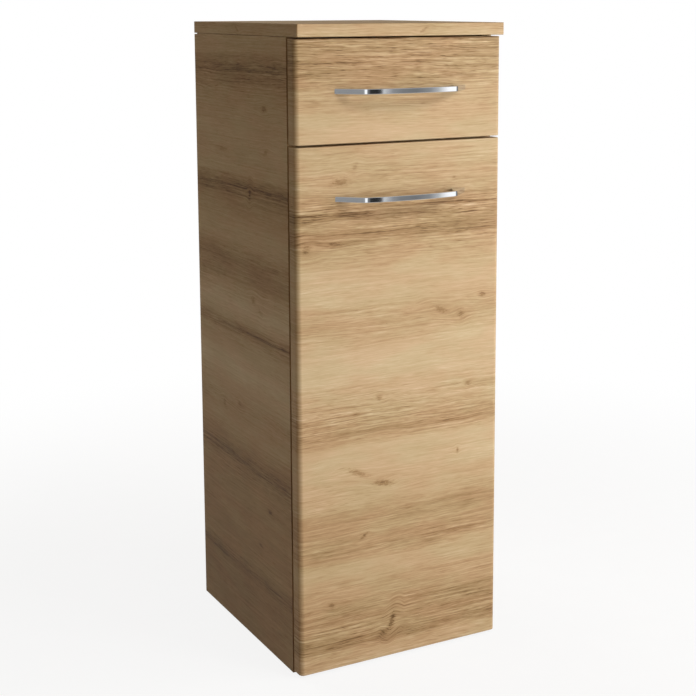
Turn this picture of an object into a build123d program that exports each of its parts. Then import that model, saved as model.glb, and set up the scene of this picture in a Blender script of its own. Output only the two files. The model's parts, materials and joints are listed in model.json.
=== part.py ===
from build123d import *
import math
import os

# Bathroom floor cabinet: one drawer over one door hinged on the left.
# Millimetres. X to the right, Y to the back, Z up, origin on the floor under the middle of the cabinet.

# Boards
cabinet_width = 300.0
side_height = 830.0
side_depth = 306.0
board = 16.0
top_thickness = 16.0
top_front_overhang = 7.5
top_back_overhang = 1.5
top_corner_radius = 2.0
arris = 0.5
bottom_height = 10.0
cut_past = 1.0
rear_notch_depth = 10.0
rear_notch_height = 1.5

# Back panel in its grooves
back_thickness = 3.0
back_inset = 10.0
groove_depth = 6.0
groove_clearance = 0.2

# Fronts
front_thickness = 20.0
front_gap = 3.4
front_floor_gap = 4.3
front_split_gap = 3.0
front_top_gap = 2.0
front_edge_radius = 6.5
drawer_zone_height = 134.0

# Shelf
shelf_height = 350.0
shelf_setback = 20.0
shelf_side_gap = 0.8
shelf_back_gap = 3.0
pin_radius = 2.5
pin_bore_depth = 10.0
pin_length = 9.0
pin_tongue = 9.0
pin_heel = 2.0
pin_row_inset = 37.0
pin_back_inset = 74.0
pin_pitch = 32.0
pin_rows = 5
seat_gap = 0.05

# Flat-pack fittings
cam_radius = 7.5
cam_depth = 12.5
cam_distance = 24.0
cam_clearance = 0.15
cam_slot_width = 1.4
cam_slot_depth = 1.2
cam_slot_margin = 3.0
bolt_stub_radius = 2.5
bolt_stub_length = 11.0
bolt_radius = 3.0
bolt_neck_radius = 1.8
bolt_head_length = 3.0
dowel_radius = 4.0
dowel_length = 28.0
dowel_chamfer = 0.8
dowel_share_in_face = 10.0
fitting_inset = 45.0
dowel_offset = 32.0
bore_clearance = 0.1

# Drawer box
box_board = 12.0
box_floor_gap = 10.0
box_head_gap = 26.0
box_past_runner = 4.6
box_bottom_thickness = 3.0
box_bottom_inset = 10.0
box_groove_depth = 5.0
box_dowel_radius = 3.0
box_dowel_length = 22.0
box_dowel_share_in_face = 7.0
box_dowel_inset = 18.0

# Telescopic runners
runner_thickness = 12.7
runner_length = 250.0
runner_setback = 2.0
runner_above_box_bottom = 30.0
runner_height = 35.0
runner_sheet = 1.2
runner_bend_share = 0.8
ball_radius = 1.15
race_gap = 0.3
cage_sheet = 0.8
cage_margin = 12.5
cage_balls = 6
cage_gap = 1.0
inner_cage_gap = 0.4
outer_member_depth = 10.0
lip_width = 2.4
access_hole_radius = 4.0
runner_screw_end = 30.0

# Screws
runner_screw_radius = 1.75
runner_screw_length = 11.0
runner_screw_head_radius = 3.3
box_screw_length = 9.0
front_screw_radius = 2.0
front_screw_length = 25.0
front_screw_inset = 20.0
pan_head_radius = 3.9
pan_head_height = 2.4
pan_head_rounding = 1.08
recess_span = 3.4
recess_width = 0.8
recess_depth = 1.2

# Bow handles
handle_half_length = 95.4
handle_projection = 34.0
handle_height = 7.0
handle_shoulder_half = 66.0
handle_shoulder_projection = 28.0
handle_shoulder_radius = 16.0
handle_bow_thickness = 4.5
handle_foot_width = 21.0
handle_inner_slant = 10.5
handle_inner_radius = 8.0
handle_hole_half_spacing = 80.0
handle_edge_radius = 0.9
handle_below_door_top = 66.7
handle_screw_radius = 2.0
handle_screw_grip = 9.0
handle_screw_hole_radius = 2.5

# Concealed hinges. Plan places are from the door's hinged edge and from its back face.
hinge_inset = 90.0
cup_radius = 17.5
cup_wall = 1.0
cup_depth = 12.5
cup_edge_radius = 2.0
cup_edge_distance = 4.0
flange_thickness = 1.0
flange_margin = 2.5
flange_ear_width = 10.0
cup_screw_half_spacing = 24.0
cup_screw_offset = 8.0
cup_screw_radius = 1.75
cup_screw_length = 12.0
hinge_pin_radius = 1.5
hinge_pin_fit = 0.05
open_pin_fit = 0.3
cup_pin_edge_distance = 12.0
cup_pin_depth = 4.6
arm_pin_edge_distance = 33.0
arm_pin_depth = 0.1
link_knee_edge_distance = 16.6
link_knee_depth = 8.4
link_eye_radius = 2.6
link_bar_radius = 1.6
link_sheet = 1.2
link_half_width = 7.0
link_bridge_radius = 0.96
link_bridge_share = 1 / 3
arm_pin_overhang = 0.6
arm_half_width = 5.5
arm_sheet = 1.2
arm_length = 62.0
arm_lift = 3.0
arm_rise = 9.0
arm_throat = 5.0
arm_front_setback = 9.0
arm_throat_length = 5.0
arm_hollow_setback = 12.0
plate_thickness = 2.0
plate_half_width = 8.0
plate_corner_radius = 2.0
plate_start = 20.0
plate_row_inset = 37.0
plate_screw_half_spacing = 16.0
plate_wing_half_length = 22.0
plate_wing_half_width = 6.0
plate_wing_radius = 4.8
plate_screw_radius = 2.5
plate_screw_length = 11.0
adjuster_from_plate_start = 6.0
adjuster_from_arm_end = 12.0
adjuster_radius = 2.0
adjuster_head_radius = 3.6
adjuster_head_height = 1.6

# Bumper pads
bumper_radius = 4.0
bumper_gap = 0.3
bumper_inset = 30.0
bumper_rounding = 1.24
same_place = 0.01

# Places that follow from the sizes
total_depth = top_back_overhang + side_depth + front_gap + front_thickness + handle_projection
y_top_back = total_depth / 2
y_side_back = y_top_back - top_back_overhang
y_side_front = y_side_back - side_depth
y_front_back = y_side_front - front_gap
y_front_face = y_front_back - front_thickness
y_top_front = y_front_face - top_front_overhang
y_back_rear = y_side_back - back_inset
y_back_front = y_back_rear - back_thickness
half_width = cabinet_width / 2
inner_half = half_width - board
side_middle = half_width - board / 2
front_split_height = side_height - drawer_zone_height
door_top = front_split_height - front_split_gap / 2
drawer_front_bottom = front_split_height + front_split_gap / 2
drawer_front_top = side_height - front_top_gap
divider_bottom = front_split_height - board / 2
divider_top = front_split_height + board / 2
box_half = inner_half - runner_thickness
box_inner_half = box_half - box_board
box_bottom = divider_top + box_floor_gap
box_top = side_height - box_head_gap
runner_z = box_bottom + runner_above_box_bottom
runner_front = y_side_front + runner_setback
runner_travel = runner_length
box_rear = runner_front + runner_length + box_past_runner
cage_start = runner_travel / 4 + cage_margin
cage_length = runner_length - runner_travel / 2 - 2 * cage_margin
drawer_handle_z = (drawer_front_bottom + drawer_front_top) / 2
handle_inner_half = handle_half_length - handle_foot_width - handle_inner_slant
door_handle_z = door_top - handle_below_door_top
hinge_heights = {"upper": door_top - hinge_inset, "lower": front_floor_gap + hinge_inset}
pin_row_front = y_side_front + pin_row_inset
pin_pitches = math.floor((side_depth - pin_row_inset - pin_back_inset) / pin_pitch)
pin_row_back = pin_row_front + pin_pitches * pin_pitch
pin_z = shelf_height - pin_radius - seat_gap
fitting_rows = (y_side_front + fitting_inset, y_back_front - fitting_inset)
dowel_rows = (fitting_rows[0] + dowel_offset, fitting_rows[1] - dowel_offset)


def block(x0, x1, y0, y1, z0, z1):
    """A box between two corners."""
    middle = Pos((x0 + x1) / 2, (y0 + y1) / 2, (z0 + z1) / 2)
    return middle * Box(abs(x1 - x0), abs(y1 - y0), abs(z1 - z0))


def rod(start, direction, length, radius, end_radius=None):
    """A round bar, or a cone where the end has its own radius."""
    frame = Plane(origin=start, z_dir=direction)
    seat = (Align.CENTER, Align.CENTER, Align.MIN)
    if end_radius is None:
        return frame * Cylinder(radius, length, align=seat)
    return frame * Cone(radius, end_radius, length, align=seat)


def join(pieces):
    """One solid from pieces that share volume."""
    result = pieces[0]
    for piece in pieces[1:]:
        result = result + piece
    return result


def group(pieces):
    """Separate solids kept together under one name."""
    return Compound(children=list(pieces))


def mirrored(piece):
    return mirror(piece, about=Plane.YZ)


def soften(board_part, size=arris):
    """Slightly broken edges, as on an edged board."""
    return chamfer(board_part.edges(), size)


# Flat-pack fittings, drawn with Z from the face that carries the bolt into the end of the other board,
# and X from the bolt to the face that the cam is pressed into.

def fitting_frame(origin, inward, cam_side):
    return Plane(origin=origin, x_dir=cam_side, z_dir=inward)


def bolt_hole(frame):
    return frame * rod((0, 0, 0), (0, 0, -1), bolt_stub_length + bore_clearance,
                       bolt_stub_radius + bore_clearance)


def cam_hole(frame):
    pocket = rod((board / 2, 0, cam_distance), (-1, 0, 0), cam_depth + cam_clearance, cam_radius)
    bore = rod((0, 0, 0), (0, 0, 1), cam_distance, bolt_radius + cam_clearance)
    return frame * join([pocket, bore])


def cam_bolt(frame):
    head_end = cam_distance + bolt_head_length / 2
    head_start = cam_distance - bolt_head_length / 2
    neck_start = cam_distance - cam_radius + cam_clearance
    stub = rod((0, 0, -bolt_stub_length), (0, 0, 1), bolt_stub_length, bolt_stub_radius)
    shaft = rod((0, 0, 0), (0, 0, 1), neck_start, bolt_radius)
    neck = rod((0, 0, neck_start), (0, 0, 1), head_start - neck_start, bolt_neck_radius)
    head = rod((0, 0, head_start), (0, 0, 1), head_end - head_start, bolt_radius)
    return frame * join([stub, shaft, neck, head])


def cam_lock(frame):
    radius = cam_radius - cam_clearance
    body = rod((board / 2, 0, cam_distance), (-1, 0, 0), cam_depth, radius)
    chamber = rod((0, 0, cam_distance - bolt_head_length / 2 - cam_clearance), (0, 0, 1),
                  bolt_head_length + 2 * cam_clearance, bolt_radius + cam_clearance)
    mouth = rod((0, 0, cam_distance - cam_radius), (0, 0, 1), cam_radius,
                bolt_neck_radius + 2 * cam_clearance)
    span = 2 * (cam_radius - cam_slot_margin)
    slot = Pos(board / 2, 0, cam_distance) * Box(2 * cam_slot_depth, span, cam_slot_width)
    cross = Pos(board / 2, 0, cam_distance) * Box(2 * cam_slot_depth, cam_slot_width, span)
    return frame * (body - chamber - mouth - slot - cross)


def dowel(start, inward):
    """A dowel that stands in a face at start and runs inward into the end of the other board."""
    origin = Vector(start) - Vector(inward) * dowel_share_in_face
    return chamfer(rod(origin, inward, dowel_length, dowel_radius).edges(), dowel_chamfer)


def dowel_hole(start, inward):
    origin = Vector(start) - Vector(inward) * (dowel_share_in_face + bore_clearance)
    return rod(origin, inward, dowel_length + 2 * bore_clearance, dowel_radius + bore_clearance / 2)


def carcass_fittings():
    """Frames of the cam fittings and starts of the dowels, by the board whose end they enter."""
    frames = {"bottom": [], "divider": [], "left": [], "right": []}
    dowels = {"bottom": [], "divider": [], "left": [], "right": []}
    levels = {"bottom": bottom_height + board / 2, "divider": divider_bottom + board / 2}
    for name, z in levels.items():
        for sign in (-1, 1):
            for y in fitting_rows:
                frames[name].append(fitting_frame((sign * inner_half, y, z), (-sign, 0, 0), (0, 0, -1)))
            for y in dowel_rows:
                dowels[name].append(((sign * inner_half, y, z), (-sign, 0, 0)))
    for name, sign in (("left", -1), ("right", 1)):
        for y in fitting_rows:
            origin = (sign * side_middle, y, side_height)
            frames[name].append(fitting_frame(origin, (0, 0, -1), (-sign, 0, 0)))
        for y in dowel_rows:
            dowels[name].append(((sign * side_middle, y, side_height), (0, 0, -1)))
    return frames, dowels


fitting_frames, dowel_places = carcass_fittings()


def side_panel(name):
    """One side: grooved for the back, drilled for pins, fittings, runner and, on the left, the hinges."""
    sign = -1 if name == "left" else 1
    panel = block(sign * inner_half, sign * half_width, y_side_front, y_side_back, 0, side_height)
    panel = soften(panel)
    cuts = []
    groove_end = sign * (inner_half + groove_depth)
    cuts.append(block(sign * (inner_half - cut_past), groove_end, y_back_front - groove_clearance,
                      y_back_rear + groove_clearance, -cut_past, side_height + cut_past))
    cuts.append(block(sign * (inner_half - cut_past), sign * (half_width + cut_past),
                      y_side_back - rear_notch_depth, y_side_back + cut_past,
                      side_height - rear_notch_height, side_height + cut_past))
    middle_row = (pin_rows - 1) / 2
    for y in (pin_row_front, pin_row_back):
        for row in range(pin_rows):
            z = pin_z + (row - middle_row) * pin_pitch
            cuts.append(rod((sign * inner_half, y, z), (sign, 0, 0), pin_bore_depth,
                            pin_radius + bore_clearance / 2))
    for level in ("bottom", "divider"):
        for frame in fitting_frames[level]:
            if frame.origin.X * sign > 0:
                cuts.append(bolt_hole(frame))
        for start, inward in dowel_places[level]:
            if start[0] * sign > 0:
                cuts.append(dowel_hole(start, inward))
    for frame in fitting_frames[name]:
        cuts.append(cam_hole(frame))
    for start, inward in dowel_places[name]:
        cuts.append(dowel_hole(start, inward))
    for y in runner_screw_rows:
        cuts.append(rod((sign * inner_half, y, runner_z), (sign, 0, 0), runner_screw_length + bore_clearance,
                        runner_screw_radius + bore_clearance / 2))
    if name == "left":
        for z in hinge_heights.values():
            for side in (-1, 1):
                start = (-inner_half, y_side_front + plate_row_inset, z + side * plate_screw_half_spacing)
                cuts.append(rod(start, (-1, 0, 0), plate_screw_length + bore_clearance,
                                plate_screw_radius + bore_clearance / 2))
    for cut in cuts:
        panel = panel - cut
    return panel


def top_panel():
    panel = block(-half_width, half_width, y_top_front, y_top_back, side_height, side_height + top_thickness)
    panel = fillet(panel.edges().filter_by(Axis.Z), top_corner_radius)
    rims = panel.faces().filter_by(Axis.Z).edges()
    panel = chamfer(rims, arris)
    for name in ("left", "right"):
        for frame in fitting_frames[name]:
            panel = panel - bolt_hole(frame)
        for start, inward in dowel_places[name]:
            panel = panel - dowel_hole(start, inward)
    return panel


def level_panel(name, z):
    """A fixed board between the sides, with cams pressed in from below."""
    panel = block(-inner_half, inner_half, y_side_front, y_back_front - groove_clearance, z, z + board)
    front_edges = panel.edges().filter_by(Axis.X).group_by(Axis.Y)[0]
    panel = chamfer(front_edges, arris)
    for frame in fitting_frames[name]:
        panel = panel - cam_hole(frame)
    for start, inward in dowel_places[name]:
        panel = panel - dowel_hole(start, inward)
    return panel


def back_panel():
    half = inner_half + groove_depth - groove_clearance
    return block(-half, half, y_back_front, y_back_rear, bottom_height, side_height - groove_clearance)


def shelf():
    half = inner_half - shelf_side_gap
    panel = block(-half, half, y_side_front + shelf_setback, y_back_front - shelf_back_gap,
                  shelf_height, shelf_height + board)
    return soften(panel)


def shelf_pins():
    pins = []
    for sign in (-1, 1):
        for y in (pin_row_front, pin_row_back):
            face = sign * inner_half
            barrel = rod((face, y, pin_z), (sign, 0, 0), pin_length, pin_radius)
            collar = rod((face, y, pin_z), (-sign, 0, 0), shelf_side_gap, pin_radius)
            tongue = block(face - sign * shelf_side_gap, face - sign * pin_tongue, y - pin_radius,
                           y + pin_radius, pin_z - pin_radius, pin_z + pin_radius)
            heel = edges_at(tongue, Axis.Y, -sign, -1)
            pins.append(join([barrel, collar, chamfer(heel, pin_heel)]))
    return group(pins)


def edges_at(part, axis, x_side, z_side):
    """Edges along one axis at the chosen end in X and in Z."""
    edges = part.edges().filter_by(axis)
    edges = edges.group_by(Axis.X)[0 if x_side < 0 else -1]
    return edges.group_by(Axis.Z)[0 if z_side < 0 else -1]


def all_frames():
    return [frame for frames in fitting_frames.values() for frame in frames]


def carcass_dowels():
    return group([dowel(start, inward) for places in dowel_places.values() for start, inward in places])


# Fronts and handles

def front_panel(z0, z1, handle_z):
    """A front with rounded upright edges and two bores for the handle screws."""
    panel = block(-half_width, half_width, y_front_face, y_front_back, z0, z1)
    uprights = panel.edges().filter_by(Axis.Z)
    panel = fillet(uprights.group_by(Axis.Y)[0], front_edge_radius)
    panel = chamfer(panel.edges().filter_by(Axis.Z).group_by(Axis.Y)[-1], arris)
    panel = chamfer(panel.faces().filter_by(Axis.Z).edges(), arris)
    for sign in (-1, 1):
        start = (sign * handle_hole_half_spacing, y_front_back, handle_z)
        panel = panel - rod(start, (0, -1, 0), front_thickness, handle_screw_hole_radius)
    return panel


def handle_outline():
    """Plan of a handle: slanting legs, rounded shoulders and a shallow bow."""
    face = y_front_face
    foot = (handle_half_length, face)
    shoulder = (handle_shoulder_half, face - handle_shoulder_projection)
    crown = (0, face - handle_projection)
    inner_foot = (handle_half_length - handle_foot_width, face)
    inner_crown = (0, crown[1] + handle_bow_thickness)
    inner_shoulder = (handle_inner_half, shoulder[1] + handle_bow_thickness)
    left = [(-x, y) for x, y in (foot, shoulder, inner_foot, inner_shoulder)]
    lines = [
        Line(left[0], left[1]),
        ThreePointArc(left[1], crown, shoulder),
        Line(shoulder, foot),
        Line(foot, inner_foot),
        Line(inner_foot, inner_shoulder),
        ThreePointArc(inner_shoulder, inner_crown, left[3]),
        Line(left[3], left[2]),
        Line(left[2], left[0]),
    ]
    return make_face(lines)


def bow_handle(z):
    plan = Pos(0, 0, z - handle_height / 2) * handle_outline()
    body = extrude(plan, handle_height)
    uprights = body.edges().filter_by(Axis.Z)
    shoulders = uprights.group_by(Axis.Y)[0]
    body = fillet(shoulders, handle_shoulder_radius)
    inner = body.edges().filter_by(Axis.Z)
    inner = inner.filter_by(lambda edge: abs(abs(edge.center().X) - handle_inner_half) < same_place)
    body = fillet(inner, handle_inner_radius)
    rims = body.faces().filter_by(Axis.Z).edges()
    rims = rims.filter_by(lambda edge: edge.center().Y < y_front_face - same_place)
    body = fillet(rims, handle_edge_radius)
    for sign in (-1, 1):
        start = (sign * handle_hole_half_spacing, y_front_face, z)
        body = body - rod(start, (0, -1, 0), handle_screw_grip + bore_clearance,
                          handle_screw_radius + bore_clearance / 2)
    return body


def handle_screws(z, head_y):
    """Two machine screws from a head plane through the front into the handle's feet."""
    screws = []
    length = head_y - y_front_face + handle_screw_grip
    for sign in (-1, 1):
        start = (sign * handle_hole_half_spacing, head_y, z)
        screws.append(pan_screw(start, (0, -1, 0), length, handle_screw_radius))
    return group(screws)


def pan_screw(start, direction, length, radius):
    """A screw whose head sits on the start point, with a cross recess."""
    back = -Vector(direction)
    shank = rod(start, direction, length, radius)
    head = rod(start, back, pan_head_height, pan_head_radius)
    top = Vector(start) + back * pan_head_height
    rim = head.edges().sort_by_distance(top)[0:1]
    head = fillet(rim, pan_head_rounding)
    return join([shank, head]) - cross_recess(top, direction)


def cross_recess(top, direction):
    frame = Plane(origin=top, z_dir=direction)
    depth = 2 * recess_depth
    return frame * (Box(recess_span, recess_width, depth) + Box(recess_width, recess_span, depth))


# Drawer box

def runner_rows(count):
    """Screw places along a runner, evenly spread."""
    span = runner_length - 2 * runner_screw_end
    return [runner_front + runner_screw_end + span * i / (count - 1) for i in range(count)]


runner_screw_rows = runner_rows(3)
box_screw_rows = runner_rows(2)
box_dowel_heights = (box_bottom + box_bottom_inset + box_dowel_inset, box_top - box_dowel_inset)
box_front_middle = y_front_back + box_board / 2
box_back_middle = box_rear - box_board / 2


def box_dowel_places():
    places = []
    for sign in (-1, 1):
        for y in (box_front_middle, box_back_middle):
            for z in box_dowel_heights:
                places.append(((sign * box_inner_half, y, z), (-sign, 0, 0)))
    return places


def box_dowel(start, inward, clearance=0.0):
    origin = Vector(start) - Vector(inward) * (box_dowel_share_in_face + clearance)
    return rod(origin, inward, box_dowel_length + 2 * clearance, box_dowel_radius + clearance / 2)


def bottom_groove(panel):
    """The groove that holds the drawer's thin bottom, cut round the inside of the box."""
    half = box_inner_half + box_groove_depth
    z = box_bottom + box_bottom_inset
    return panel - block(-half, half, y_front_back + box_board - box_groove_depth,
                         box_rear - box_board + box_groove_depth, z - groove_clearance / 2,
                         z + box_bottom_thickness + groove_clearance / 2)


def drawer_side(sign):
    panel = block(sign * box_inner_half, sign * box_half, y_front_back, box_rear, box_bottom, box_top)
    panel = chamfer(panel.edges().filter_by(Axis.Y), arris)
    panel = bottom_groove(panel)
    for start, inward in box_dowel_places():
        if start[0] * sign > 0:
            panel = panel - box_dowel(start, inward, bore_clearance)
    for y in box_screw_rows:
        panel = panel - rod((sign * box_half, y, runner_z), (-sign, 0, 0),
                            box_screw_length + bore_clearance, runner_screw_radius + bore_clearance / 2)
    return panel


def drawer_cross_board(y0, y1):
    """Box front or back, between the two box sides."""
    panel = block(-box_inner_half, box_inner_half, y0, y1, box_bottom, box_top)
    panel = bottom_groove(panel)
    for start, inward in box_dowel_places():
        if y0 < start[1] < y1:
            panel = panel - box_dowel(start, inward, bore_clearance)
    return panel


def front_screw_places():
    x = box_inner_half - front_screw_inset
    heights = (box_bottom + box_bottom_inset + front_screw_inset, box_top - front_screw_inset)
    head_y = y_front_back + box_board
    return [(sign * x, head_y, z) for sign in (-1, 1) for z in heights]


def drawer_box_front():
    panel = drawer_cross_board(y_front_back, y_front_back + box_board)
    for start in front_screw_places():
        panel = panel - rod(start, (0, -1, 0), box_board, front_screw_radius + bore_clearance / 2)
    for sign in (-1, 1):
        start = (sign * handle_hole_half_spacing, y_front_back + box_board, drawer_handle_z)
        panel = panel - rod(start, (0, -1, 0), box_board, handle_screw_hole_radius)
    return panel


def drawer_bottom():
    half = box_inner_half + box_groove_depth - groove_clearance
    z = box_bottom + box_bottom_inset
    return block(-half, half, y_front_back + box_board - box_groove_depth + groove_clearance,
                 box_rear - box_board + box_groove_depth - groove_clearance, z, z + box_bottom_thickness)


def drawer_front():
    panel = front_panel(drawer_front_bottom, drawer_front_top, drawer_handle_z)
    for start in front_screw_places():
        panel = panel - rod(start, (0, -1, 0), front_screw_length + bore_clearance,
                            front_screw_radius + bore_clearance / 2)
    return panel


def drawer_front_screws():
    screws = [pan_screw(start, (0, -1, 0), front_screw_length, front_screw_radius)
              for start in front_screw_places()]
    return group(screws)


# Telescopic runners, drawn on the left: u runs from the side panel towards the drawer.

ball_race = 2 * (ball_radius + race_gap)
outer_half = runner_height / 2
middle_half = outer_half - runner_sheet - ball_race
inner_half_height = middle_half - runner_sheet - ball_race
middle_web = runner_sheet + cage_gap + cage_sheet + cage_gap
middle_lip = runner_thickness - runner_sheet - 2 * race_gap
outer_cage_web = runner_sheet + cage_gap
inner_cage_web = middle_web + runner_sheet + inner_cage_gap
inner_flange_start = inner_cage_web + cage_sheet + inner_cage_gap
outer_ball_u = (middle_web + outer_member_depth) / 2
inner_ball_u = (inner_flange_start + middle_lip - runner_sheet) / 2
outer_ball_w = middle_half + ball_race / 2
inner_ball_w = inner_half_height + ball_race / 2


def strip(u0, u1, w0, w1, y0, y1):
    """A sheet strip on the left runner, u from the side panel and w from the runner's centre line."""
    return block(u0 - inner_half, u1 - inner_half, y0, y1, runner_z + w0, runner_z + w1)


def channel(web_start, flange_start, flange_end, half_height, lip):
    """A channel along the runner: a web, two flanges and lips that turn in to hold the balls."""
    y0 = runner_front
    y1 = runner_front + runner_length
    pieces = [strip(web_start, web_start + runner_sheet, -half_height, half_height, y0, y1)]
    for sign in (-1, 1):
        outer = sign * half_height
        inner = sign * (half_height - runner_sheet)
        pieces.append(strip(flange_start, flange_end, min(outer, inner), max(outer, inner), y0, y1))
        if lip:
            tip = sign * (half_height - runner_sheet - lip)
            pieces.append(strip(flange_end - runner_sheet, flange_end, min(outer, tip), max(outer, tip),
                                y0, y1))
    return join(pieces)


def countersunk(start, direction, length, clearance=0.0):
    """A countersunk screw that lies flush with the face of a sheet, or the hole for it."""
    radius = runner_screw_radius + clearance / 2
    head = runner_screw_head_radius + clearance / 2
    cone = rod(start, direction, runner_sheet, head, radius)
    shank = rod(start, direction, runner_sheet + length + clearance, radius)
    return join([cone, shank])


def cabinet_screw(y, clearance=0.0):
    return countersunk((runner_sheet - inner_half, y, runner_z), (-1, 0, 0), runner_screw_length, clearance)


def box_screw(y, clearance=0.0):
    start = (runner_thickness - runner_sheet - inner_half, y, runner_z)
    return countersunk(start, (1, 0, 0), box_screw_length, clearance)


def runner_cabinet():
    member = channel(0, 0, outer_member_depth, outer_half, lip_width)
    member = fillet(outer_bends(member, 0), runner_sheet * runner_bend_share)
    for y in runner_screw_rows:
        member = member - cabinet_screw(y, bore_clearance)
    return member


def runner_middle():
    member = channel(middle_web, middle_web, middle_lip, middle_half, lip_width)
    member = fillet(outer_bends(member, middle_web), runner_sheet * runner_bend_share)
    return drill_row(member, middle_web, access_hole_radius)


def runner_drawer():
    web = runner_thickness - runner_sheet
    member = channel(web, inner_flange_start, runner_thickness, inner_half_height, 0)
    member = fillet(outer_bends(member, runner_thickness), runner_sheet * runner_bend_share)
    for y in box_screw_rows:
        member = member - box_screw(y, bore_clearance)
    return member


def outer_bends(member, u):
    """The two long edges where a channel's sheet is bent round its web."""
    edges = member.edges().filter_by(Axis.Y)
    return edges.filter_by(lambda edge: abs(edge.center().X - (u - inner_half)) < same_place)


def drill_row(member, u, radius):
    """Access holes in a middle web, opposite the cabinet member's screws."""
    for y in runner_screw_rows:
        start = (u - cut_past - inner_half, y, runner_z)
        member = member - rod(start, (1, 0, 0), runner_sheet + 2 * cut_past, radius)
    return member


def ball_places(u, w):
    first = runner_front + cage_start
    pitch = cage_length / cage_balls
    places = []
    for sign in (-1, 1):
        for i in range(cage_balls):
            places.append((u - inner_half, first + pitch * (i + 0.5), runner_z + sign * w))
    return places


def balls(u, w):
    return group([Pos(place) * Sphere(ball_radius) for place in ball_places(u, w)])


def ball_cage(web_start, flange_end, u, w):
    """A bent strip that keeps the balls of one pair of races apart, with a hole round each ball."""
    y0 = runner_front + cage_start
    y1 = y0 + cage_length
    half = w + cage_sheet / 2
    pieces = [strip(web_start, web_start + cage_sheet, -half, half, y0, y1)]
    for sign in (-1, 1):
        low = sign * w - cage_sheet / 2
        pieces.append(strip(web_start, flange_end, low, low + cage_sheet, y0, y1))
    cage = join(pieces)
    for x, y, z in ball_places(u, w):
        cage = cage - rod((x, y, z - 2 * cage_sheet), (0, 0, 1), 4 * cage_sheet,
                          ball_radius + bore_clearance)
    return cage


def ball_cages():
    outer_end = outer_member_depth - runner_sheet - race_gap
    inner_end = middle_lip - runner_sheet - race_gap
    outer = ball_cage(outer_cage_web, outer_end, outer_ball_u, outer_ball_w)
    inner = ball_cage(inner_cage_web, inner_end, inner_ball_u, inner_ball_w)
    return outer, inner


# Concealed hinges, drawn at the height z of each hinge

def door_point(edge_distance, depth):
    """Plan point from the door's hinged edge and its back face, door closed."""
    return (-half_width + edge_distance, y_front_back - depth)


cup_centre = door_point(cup_edge_distance + cup_radius, 0)
cup_pin = door_point(cup_pin_edge_distance, cup_pin_depth)
arm_pin = door_point(arm_pin_edge_distance, arm_pin_depth)
link_knee = door_point(link_knee_edge_distance, link_knee_depth)
cup_screw_x = cup_centre[0] + cup_screw_offset
adjuster_rows = (y_side_front + plate_start + adjuster_from_plate_start,
                 y_side_front + arm_length - adjuster_from_arm_end)


def upright(point, z, half_length, radius):
    """A round bar along Z at a plan point."""
    return rod((point[0], point[1], z - half_length), (0, 0, 1), 2 * half_length, radius)


def cup_pin_half_length():
    """Half the length of the pin across the cup, ending inside the cup's wall."""
    offset = abs(cup_centre[0] - cup_pin[0]) + hinge_pin_radius
    return math.sqrt((cup_radius - cup_wall / 2) ** 2 - offset ** 2)


def hinge_cup(z):
    """A pressed cup with a flange that is screwed to the back of the door."""
    x, y = cup_centre
    clearance = bore_clearance
    outer = rod((x, y, z), (0, -1, 0), cup_depth - clearance, cup_radius - clearance)
    outer = fillet(outer.edges().group_by(Axis.Y)[0], cup_edge_radius)
    rim = Pos(0, y, 0) * flange_outline(z)
    flange = extrude(rim, flange_thickness, dir=(0, 1, 0))
    hollow = rod((x, y + 2 * flange_thickness, z), (0, -1, 0), cup_depth + 2 * flange_thickness - cup_wall,
                 cup_radius - cup_wall)
    cup = outer + flange - hollow
    cup = cup - upright(cup_pin, z, cup_pin_half_length() + bore_clearance,
                        hinge_pin_radius + bore_clearance / 2)
    for side in (-1, 1):
        start = (cup_screw_x, y + 2 * flange_thickness, z + side * cup_screw_half_spacing)
        cup = cup - rod(start, (0, -1, 0), 3 * flange_thickness, cup_screw_radius + bore_clearance / 2)
    return cup


def flange_outline(z):
    """The flange seen from behind: a disc with two screw ears."""
    plane = Plane(origin=(cup_centre[0], 0, z), x_dir=(1, 0, 0), z_dir=(0, -1, 0))
    disc = Circle(cup_radius + flange_margin)
    ears = SlotCenterToCenter(2 * cup_screw_half_spacing, flange_ear_width, rotation=90)
    return plane * (disc + Pos(cup_screw_offset, 0) * ears)


def cup_screws():
    screws = []
    for z in hinge_heights.values():
        for side in (-1, 1):
            start = (cup_screw_x, y_front_back + flange_thickness, z + side * cup_screw_half_spacing)
            screws.append(pan_screw(start, (0, -1, 0), cup_screw_length, cup_screw_radius))
    return group(screws)


def bar(start, end, start_radius, end_radius):
    """Plan outline of a bar with round ends."""
    first = Pos(*start) * Circle(start_radius)
    last = Pos(*end) * Circle(end_radius)
    return make_hull(first.edges() + last.edges())


def hinge_link(z, cup_fit):
    """A bent stirrup: two cheeks that straddle the arm and a bridge between them."""
    cheek = bar(cup_pin, link_knee, link_eye_radius, link_bar_radius)
    cheek = cheek + bar(link_knee, arm_pin, link_bar_radius, link_eye_radius)
    pieces = []
    inner = link_half_width - link_sheet
    for low in (-link_half_width, inner):
        pieces.append(extrude(Pos(0, 0, z + low) * cheek, link_sheet))
    along = [knee + (pin - knee) * link_bridge_share for knee, pin in zip(link_knee, arm_pin)]
    bridge = bar(link_knee, along, link_bridge_radius, link_bridge_radius)
    pieces.append(extrude(Pos(0, 0, z - inner) * bridge, 2 * inner))
    link = join(pieces)
    link = link - upright(cup_pin, z, 2 * link_half_width, hinge_pin_radius + cup_fit)
    return link - upright(arm_pin, z, 2 * link_half_width, hinge_pin_radius + hinge_pin_fit)


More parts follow.
